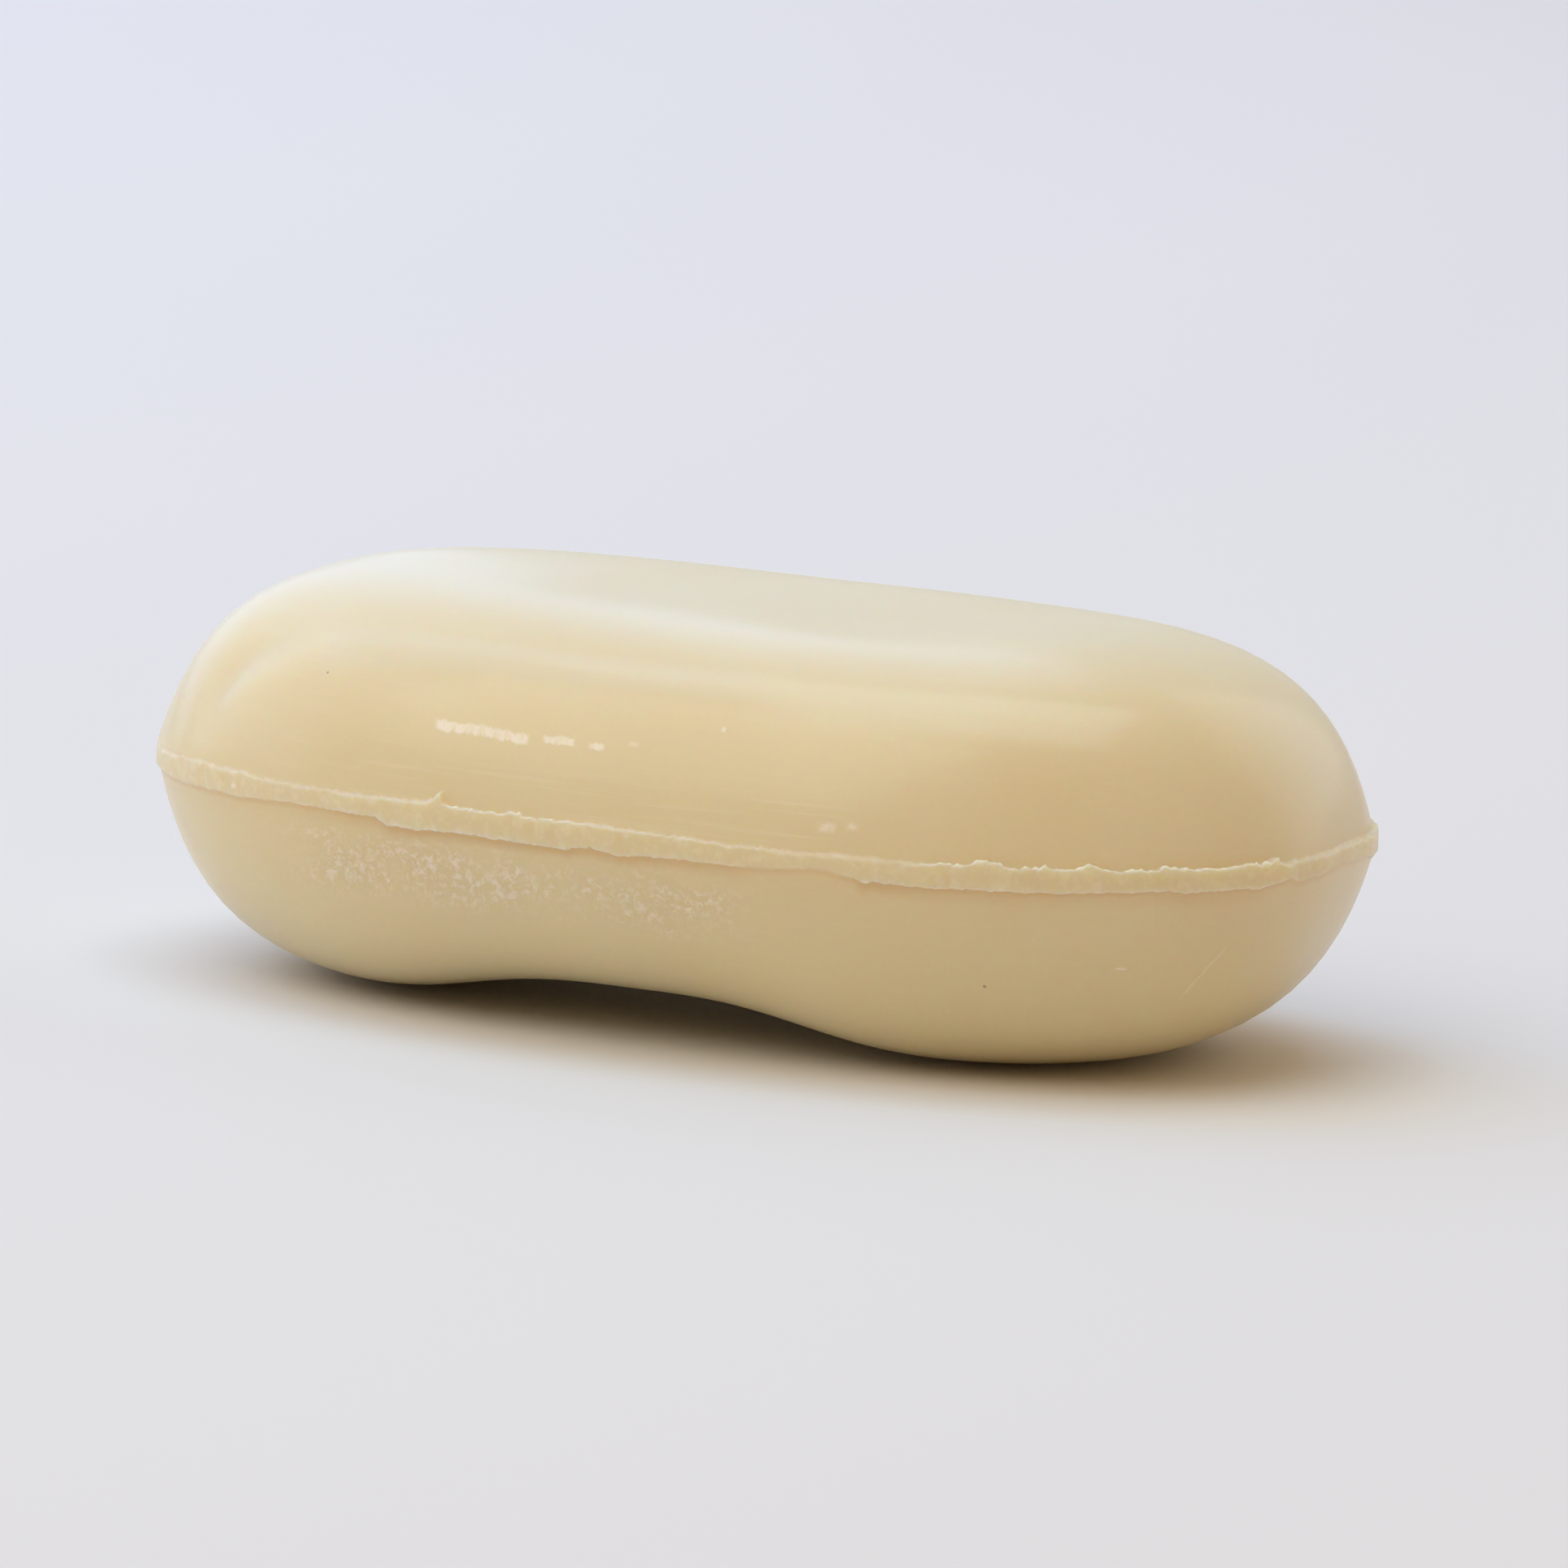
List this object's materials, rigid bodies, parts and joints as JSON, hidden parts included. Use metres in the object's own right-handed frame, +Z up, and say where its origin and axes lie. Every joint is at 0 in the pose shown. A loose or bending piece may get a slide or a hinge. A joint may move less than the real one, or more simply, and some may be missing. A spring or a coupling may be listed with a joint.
{
  "type": "bar of soap",
  "caption": "Pillow-shaped stamped soap bar with an oval plan, a raised parting band round its middle and an arched underside.",
  "frame": {"origin": "under the middle of the bar, on the surface that it rests on", "axes": "+X along the length, towards the end whose parting band is torn; +Y across the width; +Z up, through the thickness"},
  "size_m": [0.0926, 0.0568, 0.031],
  "materials": {
    "soap": "satin ivory soap, slightly translucent, with rubbed and scuffed patches"
  },
  "bodies": {
    "root": {"soap_bar": "soap"}
  },
  "joints": []
}
